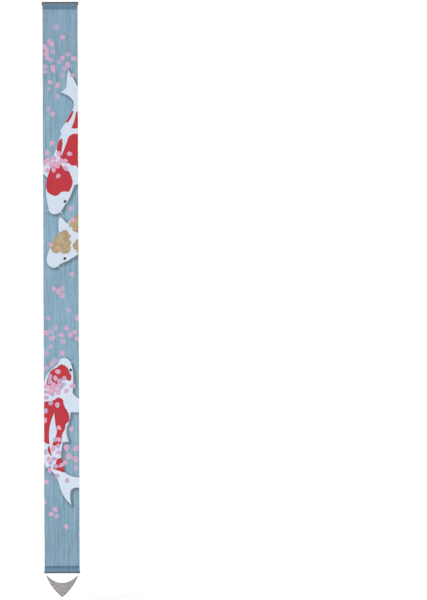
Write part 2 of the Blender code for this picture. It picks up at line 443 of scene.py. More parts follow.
# the dyed ground and the paints on it
cloth = {
    "width": halfWidth * 2, "thickness": 0.5, "cell": 2.5, "pitch": 0.56, "wander": 1.1, "tick": 1.12,
    "light": tint(158, 196, 216), "deep": tint(129, 166, 188), "teal": tint(131, 168, 180),
    "violet": tint(154, 175, 203), "greyed": tint(142, 164, 177), "streak": tint(88, 112, 130),
    # the dark dots' colour also serves as painted shade between the threads
    "beadAndGapShade": tint(50, 66, 82), "cord": tint(96, 110, 118), "shadow": tint(196, 184, 179),
    # pocket tints: painted shade of the doubled cloth, and the dark rod showing through plus painted shade
    # along the fold
    "doubledShade": tint(182, 192, 205), "overRod": tint(80, 88, 94), "topEnd": tint(250, 245, 248),
    "lowEnd": tint(241, 239, 241),
}
paints = {
    "whitePaint": {"paint": tint(217, 228, 242), "thin": tint(176, 196, 218), "show": 0.6, "fade": 0.5},
    "redPaint": {"paint": tint(200, 56, 64), "thin": tint(158, 44, 60), "show": 0.85, "fade": 0.3},
    "redRim": {"paint": tint(132, 50, 70), "thin": tint(110, 50, 74), "show": 0.5, "fade": 0.4},
    "pinkPaint": {"paint": tint(219, 170, 198), "thin": tint(190, 150, 186), "show": 0.7, "fade": 0.4},
    "petalRim": {"paint": tint(224, 178, 200), "thin": tint(200, 160, 190), "show": 0.5, "fade": 0.4},
    "lilacPaint": {"paint": tint(192, 168, 200), "thin": tint(166, 156, 192), "show": 0.7, "fade": 0.4},
    "goldPaint": {"thin": tint(124, 98, 66), "show": 0.75, "fade": 0.45},  # its colour is the powder's
    "eyeInk": {"paint": tint(52, 52, 70), "thin": tint(68, 70, 90), "show": 0.5, "fade": 0.3},
}
gold = {"cell": 0.5, "dark": tint(130, 104, 74), "middle": tint(202, 176, 138),
        "light": tint(255, 246, 226)}


def readPlace(tree):
    return Wire(addNode(tree, "ShaderNodeAttribute", attribute_name="clothPlace").outputs["Vector"])


def readMask(tree, name):
    return Wire(addNode(tree, "ShaderNodeAttribute", attribute_name=name).outputs["Fac"])


def makeClothFinishes():
    weave = makePlainWeave()
    slubs = makeYarnSlubs()
    dyed = makeDyedCloth(weave, slubs, cloth)
    pigment = makePigment(weave, slubs)
    fleck = makeGoldFleck()
    material, tree, skin = newMaterial("dyedGround", specular=0.2, sheen=0.12, sheenRoughness=0.5)
    made = useGroup(dyed, Place=readPlace(tree), Shadow=readMask(tree, "shadow"),
                    Doubled=readMask(tree, "doubledShade"), Rod=readMask(tree, "overRod"))
    dress(skin, made["Color"], made["Roughness"], made["Height"], 0.55, 0.16 * mm)
    finishes = {"dyedGround": material}
    for name, look in paints.items():
        material, tree, skin = newMaterial(name, specular=0.25, sheen=0.08, sheenRoughness=0.5)
        place = readPlace(tree)
        reverse = readMask(tree, "reverse")
        powder = None
        if name == "goldPaint":
            powder = useGroup(fleck, Place=place, Grains=1 / gold["cell"], Dark=gold["dark"],
                              Middle=gold["middle"], Light=gold["light"])
            plug(powder["Metal"] * (1 - reverse), skin.inputs["Metallic"])
        made = useGroup(pigment, Place=place, Paint=powder["Color"] if powder else look["paint"],
                        Thin=look["thin"], Show=look["show"], Ground=useGroup(dyed, Place=place)["Color"],
                        Reverse=reverse, Fade=look["fade"])
        dress(skin, made["Color"], (powder or made)["Roughness"], made["Height"], 0.4, 0.12 * mm)
        finishes[name] = material
    return finishes, weave


# the painted picture: outlines in mm, across from the middle (right is plus) and down from the top fold.
# each outline is a list of strokes; a stroke is a smooth run, and strokes meet in corners
carpWhites = {
    "upperCarp": [
        [(24, 194), (21, 206), (18, 230), (17, 245)],
        [(17, 245), (9, 253), (0, 258)],
        [(0, 258), (17, 265), (32, 276), (39, 291), (34, 310), (22, 331), (13, 347), (0, 367)],
        [(0, 367), (2, 379), (-4, 394), (-11, 416), (-19, 436), (-27, 456)],
        [(-27, 456), (-40, 457), (-54, 453)],
        [(-54, 453), (-54, 488)],
        [(-54, 488), (-46, 494), (-38, 502)],
        [(-38, 502), (-41, 522), (-42, 546), (-39, 572), (-34, 593)],
        [(-34, 593), (-31, 601), (-24, 605), (-15, 606), (-6, 603), (0, 599)],
        [(0, 599), (11, 581), (23, 563), (33, 541), (39, 523)],
        [(39, 523), (54, 520)],
        [(54, 520), (54, 250)],
        [(54, 250), (46, 237), (37, 218), (30, 206), (24, 194)],
    ],
    "middleCarp": [
        [(-2, 614), (5, 619), (12, 627), (18, 633)],
        [(18, 633), (25, 625), (36, 616), (54, 601)],
        [(54, 601), (54, 718)],
        [(54, 718), (33, 731), (18, 740), (-1, 748), (-8, 753)],
        [(-8, 753), (-12, 757), (-21, 759), (-31, 756), (-39, 747), (-41, 735), (-37, 718), (-30, 698),
         (-22, 682), (-10, 666),
         (-5, 658)],
        [(-5, 658), (-7, 645), (-7, 632), (-5, 620), (-2, 614)],
    ],
    "lowerCarp": [
        [(-48, 1083), (-45, 1072), (-37, 1059), (-25, 1047), (-10, 1033), (-3, 1021), (7, 1017),
         (18, 1020), (27, 1033),
         (32, 1053), (34, 1076), (33, 1099), (32, 1118)],
        [(32, 1118), (41, 1127), (54, 1136)],
        [(54, 1136), (54, 1172)],
        [(54, 1172), (26, 1172)],
        [(26, 1172), (24, 1188), (19, 1205), (14, 1216)],
        [(14, 1216), (14, 1232), (20, 1256)],
        [(20, 1256), (3, 1257)],
        [(3, 1257), (0, 1275), (-2, 1296), (0, 1316), (6, 1342)],
        [(6, 1342), (22, 1352), (38, 1357), (54, 1359)],
        [(54, 1359), (54, 1388)],
        [(54, 1388), (36, 1388), (27, 1393), (24, 1404), (24, 1420), (27, 1437)],
        [(27, 1437), (12, 1421), (-1, 1398), (-10, 1370), (-20, 1349), (-30, 1339)],
        [(-30, 1339), (-32, 1324)],
        [(-32, 1324), (-38, 1328), (-45, 1332)],
        [(-45, 1332), (-48, 1320), (-54, 1308)],
        [(-54, 1308), (-54, 1090)],
        [(-54, 1090), (-48, 1083)],
    ],
}
# coloured patches: the strokes marked with a lobe width have a scalloped edge
redPatches = [
    [([(-12, 466), (-22, 466), (-30, 477), (-34.5, 490), (-38.5, 503), (-41, 518), (-41.5, 530)], 0),
     ([(-41.5, 530), (-37, 543), (-25, 551), (-18, 554), (-9, 552), (2, 543), (12, 541), (23, 542),
       (29, 531),
       (33, 523), (33, 508), (29, 496), (24, 485), (14, 480), (7, 474), (2, 466), (-12, 466)], 5.6)],
    [([(54, 378), (36, 377), (24, 385), (17, 403), (9, 424), (2, 441)], 0),
     ([(2, 441), (3, 424), (6, 406), (5, 389)], 0),
     ([(5, 389), (-3, 395), (-8, 408), (-11, 420)], 3.0), ([(-11, 420), (-5, 437), (-1, 443), (0, 448)], 0),
     ([(0, 448), (10, 457), (18, 461), (26, 461.5), (29, 466.5), (37, 467), (45, 468), (48, 473),
       (54, 479)], 5.0),
     ([(54, 478), (54, 378)], 0)],
    [([(34, 311), (24, 328), (14.5, 345)], 0), ([(14.5, 345), (21, 345)], 0), ([(21, 345), (32, 329),
       (38, 313)], 0),
     ([(38, 313), (34, 311)], 0)],
    [([(45, 314), (40, 338), (31, 361)], 0), ([(31, 361), (40, 362), (54, 360)], 0),
     ([(54, 360), (54, 313), (45, 314)], 0)],
    [([(-11, 1043), (-2, 1036), (11, 1040), (18, 1047), (23, 1058), (28, 1069), (25, 1082), (15, 1079),
       (5, 1078),
       (-3, 1090), (-13, 1098), (-23, 1101), (-34, 1095), (-42, 1092), (-40, 1078), (-36, 1065),
       (-27, 1052),
       (-11, 1043)], 7.0)],
    [([(-19, 1136), (-10, 1130), (3, 1136), (6, 1149), (10, 1159), (16, 1168), (22, 1184),
       (21, 1198)], 5.0),
     ([(21, 1198), (12, 1206), (9, 1220), (1, 1236), (0, 1250), (-3, 1263), (-13, 1267), (-27, 1267)], 5.0),
     ([(-27, 1267), (-24, 1256), (-18, 1243), (-14, 1230), (-18, 1205), (-21, 1174)], 0),
     ([(-21, 1174), (-30, 1197), (-35, 1222), (-36, 1242), (-35, 1263)], 0),
     ([(-35, 1263), (-43, 1261), (-54, 1250)], 5.0), ([(-54, 1250), (-54, 1143)], 0),
     ([(-54, 1143), (-40, 1141), (-29, 1140), (-19, 1136)], 5.0)],
    [([(-36, 1265), (-40, 1276), (-38, 1287), (-28, 1298)], 0), ([(-28, 1298), (-31, 1283),
       (-36, 1265)], 0)],
    [([(-26, 1333), (-18, 1320), (-11, 1305), (-1, 1303), (1, 1317), (5, 1331), (7, 1343), (-8, 1339),
       (-26, 1333)], 5.0)],
]
goldPatches = [
    [([(-5, 659), (3, 656), (8, 652), (16, 653), (21, 659), (22, 664), (29, 666), (29, 672), (24, 676),
       (25, 681),
       (30, 686), (27, 692), (28, 702), (27, 711), (20, 717), (9, 719), (2, 717), (-3, 713), (-9, 717),
       (-19, 717),
       (-26, 712), (-30, 700)], 6.5),
     ([(-30, 700), (-22, 682), (-10, 666), (-5, 659)], 0)],
    [([(30, 622), (23, 632), (24, 642), (32, 644), (34, 653), (43, 657), (54, 662)], 6.5),
     ([(54, 662), (54, 601)], 0), ([(54, 601), (36, 616), (30, 622)], 0)],
    [([(54, 678), (44, 679), (40, 687), (34, 693), (35, 701), (38, 707), (44, 709), (46, 716),
       (54, 720)], 6.0),
     ([(54, 720), (54, 678)], 0)],
]
eyes = [(12, 570, 48), (11, 733, 44), (26.5, 1051.5, -60)]
# whiskers: root, tip and the root's breadth
whiskers = [((-33, 592), (-41, 600), 2.2), ((0, 598), (5, 607), 2.4), ((-9, 753), (0, 760), 2.2),
            ((26, 1029), (38, 1026), 2.4)]
petal = {"length": 16.4, "breadth": 12.6, "tip": 0.64, "end": 0.44, "notch": 1.4, "notchAside": 0.3,
         "middle": 0.54, "steps": 15}
# petals: across, down, and for those that lie a given way, the turn in degrees from pointing right
pinkPetals = [
    (8, 101), (-24, 121), (-38, 137), (-40, 150), (-36, 161), (7, 160), (39, 162), (-21, 186), (22, 180),
    (-29, 229), (-7, 238), (-22, 320), (-25, 403), (-5, 434, 100), (-38, 433, 170), (-36, 451, 95, 1.12),
    (-18, 446.5, -42), (-46, 459.5, 122, 1.08), (2.5, 453.5, 175), (13.5, 455.5, 60),
    (-18, 461.5, 80, 1.02), (-26.5, 465.5, 150, 1.1), (-10, 468.5, -8, 1.1), (-5, 460.5, 25),
    (-20, 479.5, 90), (15, 475, -42), (-38.5, 481, -105), (-54.5, 476, 90), (-7, 497, 50),
    (25.5, 434, 170), (30, 590, 48), (34, 622, 150), (-29, 693, 178), (31, 778), (-21, 819), (-8, 828),
    (4, 839), (47, 903), (15, 931), (-45, 945), (-24, 959), (0, 951), (39, 943), (26, 951), (45, 962),
    (3, 1003), (-27, 1034), (-10, 1056), (-17, 1075), (-24, 1092), (-30, 1103), (-20, 1109), (-44, 1099),
    (-11, 1097), (32, 1097), (14, 1111), (-36, 1115), (-9, 1115), (-12, 1151), (-48, 1194), (-8, 1216),
    (28, 1219), (-8, 1250), (-24, 1276), (-8, 1287), (14, 1273, 100, 1.15), (40, 1275, 40, 1.1),
    (-38, 1305), (20, 1298, 60, 1.2), (39, 1306, 95, 1.2), (10, 1316), (-1, 1323), (-34, 1337),
    (-45, 1371), (-20, 1449), (-31, 1463), (12, 1499), (-30, 113, 130, 0.96), (-45, 128, 70, 0.95),
    (-20, 195, 100, 0.95), (-50, 1430, 30, 0.9),
]
lilacPetals = [
    (-9, 72), (-21, 141), (22, 150), (-44, 184), (13, 190), (-43, 199), (7, 210), (36, 210), (-7, 269),
    (-34, 306), (-39, 429), (2, 820), (22, 881), (-36, 903), (-16, 929), (-31, 942), (-29, 961), (5, 970),
    (-30, 984), (-43, 1003), (-18, 1024), (-43, 1046), (-33, 1071), (8, 1075), (-33, 1084), (-5, 1083),
    (4, 1093), (-2, 1102), (-46, 1114), (-26, 1120), (-44, 1130), (-31, 1146), (-45, 1168), (-18, 1250),
    (-10, 1269), (-47, 1286), (-22, 1305), (-18, 1326), (40, 1331), (-32, 1316), (-13, 1354), (15, 1367),
    (-15, 1469), (-24, 167, 20, 0.92), (-3, 172, 150, 0.85), (-34, 249, 80, 0.7),
]

def along(points):
    # the distance run at each point
    return np.concatenate([[0], np.cumsum(np.linalg.norm(np.diff(points, axis=0), axis=1))])


def smoothRun(points, spacing=1.5):
    # a curve through all the points, its speed set by their distances
    points = np.array(points, float)
    at = along(points)
    gaps = np.diff(at)
    slopes = np.gradient(points, at, axis=0)
    run = []
    for a, b, slopeA, slopeB, gap in zip(points, points[1:], slopes, slopes[1:], gaps):
        steps = max(1, int(math.ceil(gap / spacing)))
        for t in np.arange(steps) / steps:
            run.append(a * (1 + 2 * t) * (1 - t) ** 2 + b * t * t * (3 - 2 * t)
                       + slopeA * gap * t * (1 - t) ** 2 - slopeB * gap * t * t * (1 - t))
    run.append(points[-1])
    return np.array(run)


def loopOf(strokes, spacing=1.5):
    return np.vstack([smoothRun(points, spacing)[:-1] for points in strokes])


def signedArea(loop):
    after = np.roll(loop, -1, axis=0)
    return np.sum(loop[:, 0] * after[:, 1] - after[:, 0] * loop[:, 1]) / 2


def turning(loop):
    return 1 if signedArea(loop) > 0 else -1


def scalloped(run, lobe, way, draw):
    # round lobes of uneven width along a run, bulging outwards
    at = along(run)
    widths = [lobe * draw.uniform(0.65, 1.4) for _ in range(max(1, round(at[-1] / lobe)))]
    widths = np.array(widths) * at[-1] / sum(widths)

    def placeAt(distance):
        return np.array([np.interp(distance, at, run[:, k]) for k in (0, 1)])

    made = []
    for start, width in zip(np.concatenate([[0], np.cumsum(widths)]), widths):
        steps = max(4, round(width / 0.7))
        rise = width * draw.uniform(0.13, 0.24)
        for t in np.arange(steps) / steps:
            here = start + width * t
            ahead = placeAt(here + 1.5) - placeAt(here - 1.5)
            ahead /= max(np.linalg.norm(ahead), 1e-9)
            outwards = np.array([ahead[1], -ahead[0]]) * way
            made.append(placeAt(here) + outwards * rise * (math.sin(math.pi * t) ** 0.75 - 0.35))
    made.append(run[-1])
    return np.array(made)


def patchLoop(strokes, draw):
    way = turning(loopOf([points for points, _ in strokes]))
    runs = [(smoothRun(points), lobe) for points, lobe in strokes]
    return np.vstack([(scalloped(run, lobe, way, draw) if lobe else run)[:-1] for run, lobe in runs])


def petalLoop(across, down, turn, scale):
    # pointed at one end and broad at the other, which has a small notch
    t = (1 - np.cos(np.linspace(0, math.pi, petal["steps"] + 1)[:-1])) / 2
    widest = petal["tip"] / (petal["tip"] + petal["end"])
    full = widest ** petal["tip"] * (1 - widest) ** petal["end"]
    half = petal["breadth"] / 2 * t ** petal["tip"] * (1 - t) ** petal["end"] / full
    length = np.concatenate([t * petal["length"], [petal["length"] - petal["notch"]],
                             t[:0:-1] * petal["length"]]) - petal["length"] * petal["middle"]
    aside = np.concatenate([half, [petal["notchAside"]], -half[:0:-1]])
    c, s = math.cos(turn), math.sin(turn)
    return np.column_stack([across + scale * (length * c + aside * s),
                            down + scale * (aside * c - length * s)])


def whiskerLoop(root, tip, breadth):
    # a slightly bowed sliver that runs out to a point
    ahead = (tip - root) / np.linalg.norm(tip - root)
    aside = np.array([-ahead[1], ahead[0]])
    start, middle = root - ahead * 1.5, (root + tip) / 2 + aside * 0.7
    left = smoothRun([start + aside * breadth / 2, middle + aside * breadth / 3.4, tip])
    right = smoothRun([tip, middle - aside * breadth / 3.4, start - aside * breadth / 2])
    return np.vstack([left[:-1], right])


def ovalLoop(across, down, turn, length, breadth):
    angles = np.linspace(0, math.tau, 22, endpoint=False)
    c, s = math.cos(turn), math.sin(turn)
    lengthwise, aside = np.cos(angles) * length / 2, np.sin(angles) * breadth / 2
    return np.column_stack([across + lengthwise * c + aside * s, down + aside * c - lengthwise * s])


def shrunk(loop, width):
    # the outline moved inwards by a width
    sides = np.roll(loop, -1, axis=0) - loop
    sides /= np.maximum(np.linalg.norm(sides, axis=1), 1e-6)[:, None]
    ahead = sides + np.roll(sides, 1, axis=0)
    ahead /= np.maximum(np.linalg.norm(ahead, axis=1), 1e-6)[:, None]
    return loop + np.column_stack([-ahead[:, 1], ahead[:, 0]]) * width * turning(loop)


rimWidth = {"redPaint": 0.42, "pinkPaint": 0.5, "lilacPaint": 0.5}
eyeSize = (9.2, 7.4)


def drawPicture():
    # the layers of paint, from the first to the last laid on
    draw = random.Random(7)
    layers = [("whitePaint", loopOf(strokes)) for strokes in carpWhites.values()]
    for root, tip, breadth in whiskers:
        layers.append(("whitePaint", whiskerLoop(np.array(root, float), np.array(tip, float), breadth)))
    for strokes in redPatches:
        loop = patchLoop(strokes, draw)
        layers += [("redRim", loop), ("redPaint", shrunk(loop, rimWidth["redPaint"]))]
    for strokes in goldPatches:
        layers.append(("goldPaint", patchLoop(strokes, draw)))
    petals = []
    for paint, spots in (("lilacPaint", lilacPetals), ("pinkPaint", pinkPetals)):
        for across, down, *lie in spots:
            turn = math.radians(lie[0] if lie else draw.uniform(0, 360))
            scale = lie[1] if len(lie) > 1 else draw.uniform(0.9, 1.06)
            loop = petalLoop(across, down, turn, scale)
            layers.append(("petalRim", loop))
            petals.append((paint, shrunk(loop, rimWidth[paint])))
    layers += petals
    for across, down, turn in eyes:
        layers.append(("eyeInk", ovalLoop(across, down, math.radians(turn), *eyeSize)))
    return layers


def insideLoop(points, loop):
    # which points lie within a closed outline
    found = np.zeros(len(points), bool)
    near = np.all((points > loop.min(0)) & (points < loop.max(0)), axis=1).nonzero()[0]
    x, y = points[near, 0], points[near, 1]
    crossings = np.zeros(len(near), bool)
    for (ax, ay), (bx, by) in zip(loop, np.roll(loop, -1, axis=0)):
        if ay != by:
            crossings ^= ((ay > y) != (by > y)) & (x < (bx - ax) * (y - ay) / (by - ay) + ax)
    found[near] = crossings
    return found


def distanceTo(points, loop):
    nearest = np.full(len(points), 1e9)
    for a, b in zip(loop, np.roll(loop, -1, axis=0)):
        side = b - a
        t = np.clip((points - a) @ side / max(side @ side, 1e-9), 0, 1)
        nearest = np.minimum(nearest, np.linalg.norm(points - a - t[:, None] * side, axis=1))
    return nearest


brushShadow = {"shift": (4.0, 3.5), "reach": 9.0, "look": 15}


def paintedShadow(points):
    # an airbrushed shade that hugs the lower right side of each carp
    shade = np.zeros(len(points))
    look = brushShadow["look"]
    for strokes in carpWhites.values():
        loop = loopOf(strokes, 4) + brushShadow["shift"]
        near = np.all((points > loop.min(0) - look) & (points < loop.max(0) + look), axis=1).nonzero()[0]
        apart = distanceTo(points[near], loop)
        apart[insideLoop(points[near], loop)] = 0
        shade[near] = np.maximum(shade[near], 1 - smoothStep(apart, 0, brushShadow["reach"]))
    return shade


# how the hung sheet lies
hang = {"edgeWobble": 0.16, "sway": 1.9, "ripple": 1.2, "curl": 1.3, "calmEnds": 90.0, "rimBulge": 0.12,
        "bend": 30, "pocketBend": 32}


def freeness(down):
    return smoothStep(down, topFold - topEnd, topFold - topEnd + hang["calmEnds"]) * (
        1 - smoothStep(down, topFold - lowEnd - hang["calmEnds"], topFold - lowEnd))


def swayOf(across, down):
    share = across / halfWidth
    slow = hang["sway"] * np.sin(down * math.tau / 520 + 0.7)
    twist = hang["ripple"] * share * np.sin(down * math.tau / 205 + 2.1)
    curl = hang["curl"] * share**2 * np.sin(down * math.tau / 330 + 1.2)
    return freeness(down) * (slow + twist + curl)


def edgeWobble(across, down):
    # each selvedge wanders in its own way as the weft pulls it
    side = np.where(across > 0, 1.7, 0.0)
    wave = (np.sin(down / 4.9 + side) + np.sin(down / 2.1 + 2.3 * side)
            + 0.7 * np.sin(down / 17.3 + 3 * side))
    return hang["edgeWobble"] * wave * np.abs(across / halfWidth) ** 8


def cutToTriangles(points, edges):
    made = delaunay_2d_cdt([Vector(p) for p in points], edges, [], 0, 1e-4, True)
    return np.array([tuple(v) for v in made[0]]), np.array([f for f in made[2] if len(f) == 3])


def triangulatePicture(layers):
    # one mesh of the whole front: a grid for the drape, cut by every outline
    cell = cloth["cell"]
    columns = np.arange(-halfWidth, halfWidth + cell / 2, cell)
    rowsAbove = int(pitch / 2 // cell)
    firstRow = topFold - topEnd + pitch / 2 - rowsAbove * cell
    rowCount = round(pitch * (len(sections) - 1) / cell) + 2 * rowsAbove + 1
    rows = firstRow + np.arange(rowCount) * cell
    outlines = KDTree(sum(len(loop) for _, loop in layers))
    for index, (across, down) in enumerate(np.vstack([loop for _, loop in layers])):
        outlines.insert((across, down, 0), index)
    outlines.balance()
    points, edges, index = [], [], {}
    cuts = {rowsAbove + round(pitch * k / cell) for k in range(len(sections))} | {0, rowCount - 1}
    sides = (0, len(columns) - 1)
    for r, down in enumerate(rows):
        for c, across in enumerate(columns):
            # a grid point that an outline passes close by would only make slivers
            if c in sides or r in cuts or outlines.find((across, down, 0))[2] > 0.35 * cell:
                index[r, c] = len(points)
                points.append((across, down))
    for r in range(rowCount - 1):
        edges += [(index[r, c], index[r + 1, c]) for c in sides]
    for r in cuts:
        edges += [(index[r, c], index[r, c + 1]) for c in range(sides[1])]
    for _, loop in layers:
        first = len(points)
        points += [tuple(p) for p in loop]
        edges += [(first + k, first + (k + 1) % len(loop)) for k in range(len(loop))]
    flat, faces = cutToTriangles(points, edges)
    middles = flat[faces].mean(axis=1)
    kept = (np.abs(middles[:, 0]) < halfWidth) & (middles[:, 1] > rows[0]) & (middles[:, 1] < rows[-1])
    return flat, faces[kept], middles[kept], [rows[r] for r in sorted(cuts)], columns


# the rod pockets, in mm; both layers meet a little apart below the rod and are stitched there
pockets = {
    "top": {"rod": (topRodLow.z + topRodHigh.z) / 2 / mm, "fold": topFold, "end": topEnd},
    "low": {"rod": (lowRodLow.z + lowRodHigh.z) / 2 / mm, "fold": lowFold, "end": lowEnd},
}
for pocket in pockets.values():
    pocket["up"] = 1 if pocket["rod"] > pocket["end"] else -1
    pocket["radius"] = abs(pocket["fold"] - pocket["rod"]) - cloth["thickness"] / 2
    pocket["seam"] = pocket["end"] + 2 * pocket["up"]
pocketLook = {"apart": 0.03, "stitchedTo": 3.2, "flankStep": 1.6, "arcSteps": 22, "endRound": 0.14}
pucker = {"rise": 0.1, "length": 9.0, "shortLength": 5.3, "reach": 3.4}


def rodPath(pocket, joinHeight):
    # the cloth's middle line (y, z) from the free sheet, round the rod and back to its end
    radius = pocket["radius"]
    end = abs(pocket["rod"] - pocket["end"])
    join = abs(pocket["rod"] - joinHeight)
    lie = cloth["thickness"] / 2 + pocketLook["apart"]
    seamTop = end - pocketLook["stitchedTo"]
    turnAt = math.acos(radius / math.hypot(seamTop, lie)) + math.atan2(lie, seamTop)
    touch = (radius * math.sin(turnAt), radius * math.cos(turnAt))
    line = [(0, join), (-lie * 0.4, join - 0.5), (-lie, end + 0.25)]
    line += [(-lie, end - step) for step in (0.2, 1.0, 1.7, 2.4, pocketLook["stitchedTo"])]
    flank = max(3, round(math.hypot(touch[0] - lie, seamTop - touch[1]) / pocketLook["flankStep"]))
    line += [(-lie + (lie - touch[0]) * k / flank, seamTop + (touch[1] - seamTop) * k / flank)
             for k in range(1, flank)]
    back = [(-y, t) for y, t in reversed(line[3:])]
    for k in range(pocketLook["arcSteps"] + 1):
        angle = turnAt + (math.tau - 2 * turnAt) * k / pocketLook["arcSteps"]
        line.append((-radius * math.sin(angle), radius * math.cos(angle)))
    return np.array([(y, pocket["rod"] - pocket["up"] * t) for y, t in line + back])


def puckerOf(across, z, pocket):
    # shallow puckers that the stitching draws up, common to both layers
    near = np.exp(-((z - pocket["seam"]) / pucker["reach"]) ** 2)
    return pucker["rise"] * near * (np.sin(across * math.tau / pucker["length"] + pocket["seam"])
                                    + 0.6 * np.sin(across * math.tau / pucker["shortLength"] + 1.1))


def pocketTone(z, pocket):
    # how far the doubled cloth reads deeper, which is painted shade for the light that two layers hold
    # back, with a painted shadow line along the low pocket's seam; and how far the rod greys what lies on
    # it, which is the dark rod showing through plus painted shade along the fold
    towardsFold = (z - pocket["rod"]) * pocket["up"]
    if pocket is pockets["low"]:
        return 1.0 if abs(z - pocket["end"]) < 6.8 else 0.6, 0.9 if towardsFold > -1.3 else 0.0
    if towardsFold > 1.0:
        return 0.95, 1.0
    return (0.35, 0.42) if abs(towardsFold) < 6.0 else (0.95, 0.0)


class ClothMesh:
    # points in mm, each with its place on the flat cloth and its masks, and the painted faces
    masks = ("shadow", "reverse", "doubledShade", "overRod")

    def __init__(self):
        self.points, self.places, self.marks, self.faces, self.paint = [], [], [], [], []

    def point(self, spot, place, *marks):
        self.points.append(tuple(float(v) for v in spot))
        self.places.append((place[0], place[1], 0))
        self.marks.append([*marks] + [0.0] * (len(self.masks) - len(marks)))
        return len(self.points) - 1

    def face(self, *corners, paint="dyedGround"):
        self.faces.append([int(corner) for corner in corners])
        self.paint.append(paint)

    def piece(self, name, finishes):
        mesh = bpy.data.meshes.new(name)
        mesh.from_pydata((np.array(self.points) * mm).tolist(), [], self.faces)
        names = sorted(set(self.paint))
        for finish in names:
            mesh.materials.append(finishes[finish])
        mesh.polygons.foreach_set("material_index", [names.index(p) for p in self.paint])
        places = np.array(self.places, np.float32).ravel()
        mesh.attributes.new("clothPlace", "FLOAT_VECTOR", "POINT").data.foreach_set("vector", places)
        for mask, values in zip(self.masks, np.array(self.marks, np.float32).T):
            made = mesh.attributes.new(mask, "FLOAT", "POINT")
            made.data.foreach_set("value", np.ascontiguousarray(values))
        bm = bmesh.new()
        bm.from_mesh(mesh)
        bmesh.ops.recalc_face_normals(bm, faces=bm.faces)
        bm.to_mesh(mesh)
        bm.free()
        return addPiece(name, mesh, 50)


def addPocket(made, pocket, joinRow, columns, firstRows):
    # carries the sheet round the rod; rows are the front, the back and the two outermost side lines
    half = cloth["thickness"] / 2
    path = rodPath(pocket, topFold - joinRow)
    lengths = along(path)
    slopes = np.gradient(path, lengths, axis=0)
    slopes /= np.linalg.norm(slopes, axis=1)[:, None]
    normals = np.column_stack([slopes[:, 1], -slopes[:, 0]]) * pocket["up"]
    rows = [firstRows]
    for (y, z), normal, length in zip(path[1:], normals[1:], lengths[1:]):
        down = joinRow - pocket["up"] * length
        # painted shade of the doubled cloth, and of the dark rod showing through along the fold
        doubledShade, overRod = pocketTone(z, pocket)
        doubledShade *= float(smoothStep(length, 0.4, 1.2))
        xs = columns + edgeWobble(columns, down)
        ys = y + puckerOf(columns, z, pocket) * smoothStep(length, 0, 2)
        row = [[made.point((x, at + side * half * normal[0], z + side * half * normal[1]), (c, down),
                           0.0, reverse, doubledShade, overRod) for c, x, at in zip(columns, xs, ys)]
               for side, reverse in ((1, 0.0), (-1, 1.0))]
        row.append([made.point((xs[k] + side * hang["rimBulge"], ys[k], z), (columns[k], down),
                               0.0, 0.5, doubledShade, overRod) for k, side in ((0, -1), (-1, 1))])
        rows.append(row)
    for (front, back, rims), (nextFront, nextBack, nextRims) in zip(rows, rows[1:]):
        for c in range(len(columns) - 1):
            made.face(front[c], front[c + 1], nextFront[c + 1], nextFront[c])
            made.face(back[c], nextBack[c], nextBack[c + 1], back[c + 1])
        for k in (0, -1):
            made.face(front[k], nextFront[k], nextRims[k], rims[k])
            made.face(rims[k], nextRims[k], nextBack[k], back[k])
    # the turned end, rounded, with its corners closed
    front, back, rims = rows[-1]
    tip = []
    for a, b in zip(front, back):
        x, y, z = (np.array(made.points[a]) + made.points[b]) / 2
        spot = (x, y, z - pocket["up"] * pocketLook["endRound"])
        tip.append(made.point(spot, made.places[a], *made.marks[a]))
    for c in range(len(columns) - 1):
        made.face(front[c], front[c + 1], tip[c + 1], tip[c])
        made.face(tip[c], tip[c + 1], back[c + 1], back[c])
    for k in (0, -1):
        made.face(front[k], tip[k], rims[k])
        made.face(tip[k], back[k], rims[k])
    return lengths[-1]


def buildSpan(name, flat, faces, layerOf, shade, finishes, ends, columns):
    # a closed piece of the sheet: front, back, side rims, and a pocket where it has one
    made = ClothMesh()
    half = cloth["thickness"] / 2
    used, inverse = np.unique(faces, return_inverse=True)
    tris = inverse.reshape(faces.shape)
    across, down = flat[used].T
    count = len(used)
    x = across + edgeWobble(across, down)
    y = swayOf(across, down)
    z = topFold - down
    for k in range(count):
        made.point((x[k], y[k] - half, z[k]), (across[k], down[k]), shade[used[k]])
    for k in range(count):
        made.point((x[k], y[k] + half, z[k]), (across[k], down[k]), 0.0, 1.0)
    for (a, b, c), paint in zip(tris, layerOf):
        made.face(a, b, c, paint=paint)
        made.face(c + count, b + count, a + count, paint=paint)
    rims = {}

    def rimOf(k):
        # the outermost line of the rounded selvedge
        if k not in rims:
            bulge = math.copysign(hang["rimBulge"], across[k])
            rims[k] = made.point((x[k] + bulge, y[k], z[k]), (across[k], down[k]), 0.0, 0.5)
        return rims[k]

    sides = Counter((min(pair), max(pair)) for a, b, c in tris for pair in ((a, b), (b, c), (c, a)))
    joinRow = {"top": down.min(), "low": down.max()}.get(ends)
    for a, b in [pair for pair, times in sides.items() if times == 1]:
        if min(abs(across[a]), abs(across[b])) > halfWidth - 1e-3:
            made.face(a, b, rimOf(b), rimOf(a))
            made.face(rimOf(a), rimOf(b), b + count, a + count)
        elif joinRow is None or max(abs(down[a] - joinRow), abs(down[b] - joinRow)) > 1e-3:
            made.face(a, b, b + count, a + count)
    clothLength = down.max() - down.min()
    if ends:
        columnAt = {round(float(across[k]), 3): k for k in range(count) if abs(down[k] - joinRow) < 1e-3}
        front = [columnAt[round(float(c), 3)] for c in columns]
        rows = (front, [k + count for k in front], [rimOf(front[0]), rimOf(front[-1])])
        clothLength += addPocket(made, pockets[ends], joinRow, columns, rows)
    return made.piece(name, finishes), clothLength * mm


